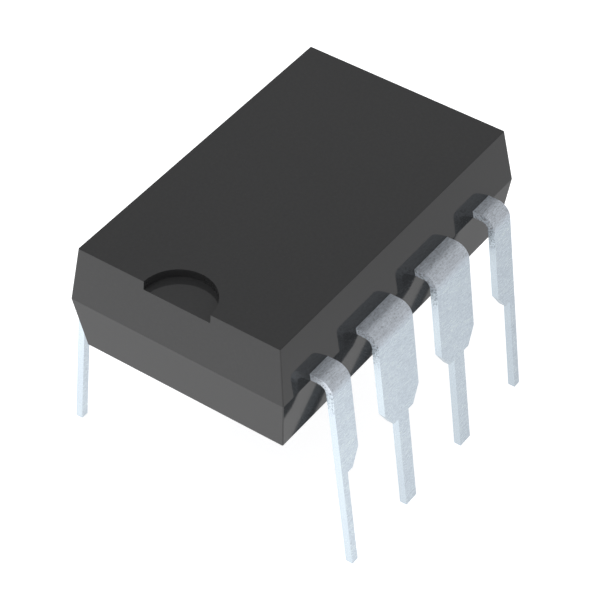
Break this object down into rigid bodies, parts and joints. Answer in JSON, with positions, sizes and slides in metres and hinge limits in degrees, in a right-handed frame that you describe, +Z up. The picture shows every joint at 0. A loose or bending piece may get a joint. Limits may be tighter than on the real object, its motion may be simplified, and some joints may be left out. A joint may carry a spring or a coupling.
{
  "type": "operational amplifier",
  "caption": "Integrated circuit amplifier in a tapered dark moulded dual in-line package with an index notch and two rows of bent, splayed plated leads.",
  "frame": {"origin": "middle of the footprint, on the surface that the lead tips stand on", "axes": "+X across the package towards the row of leads 1 to 4, +Y along it away from the notch, +Z up from the lead tips to the top face"},
  "size_m": [0.009, 0.01, 0.0075],
  "materials": {
    "mould_compound": "smooth dark grey moulded epoxy that mirrors its surroundings softly",
    "tin_plate": "bright tin plate with a fine rolling grain",
    "lead_frame": "copper alloy with a spot of matt silver plate",
    "silver_adhesive": "silver-filled epoxy adhesive",
    "silicon": "polished silicon with metal tracks and square bond pads",
    "gold_wire": "drawn gold wire"
  },
  "bodies": {
    "root": {"mould_body": "mould_compound", "lead_1": "tin_plate", "lead_2": "tin_plate", "lead_3": "tin_plate", "lead_4": "tin_plate", "lead_5": "tin_plate", "lead_6": "tin_plate", "lead_7": "tin_plate", "lead_8": "tin_plate", "die_pad": "lead_frame", "die_attach": "silver_adhesive", "die": "silicon", "bond_wire_1": "gold_wire", "bond_wire_2": "gold_wire", "bond_wire_3": "gold_wire", "bond_wire_4": "gold_wire", "bond_wire_5": "gold_wire", "bond_wire_6": "gold_wire", "bond_wire_7": "gold_wire", "bond_wire_8": "gold_wire"}
  },
  "joints": []
}
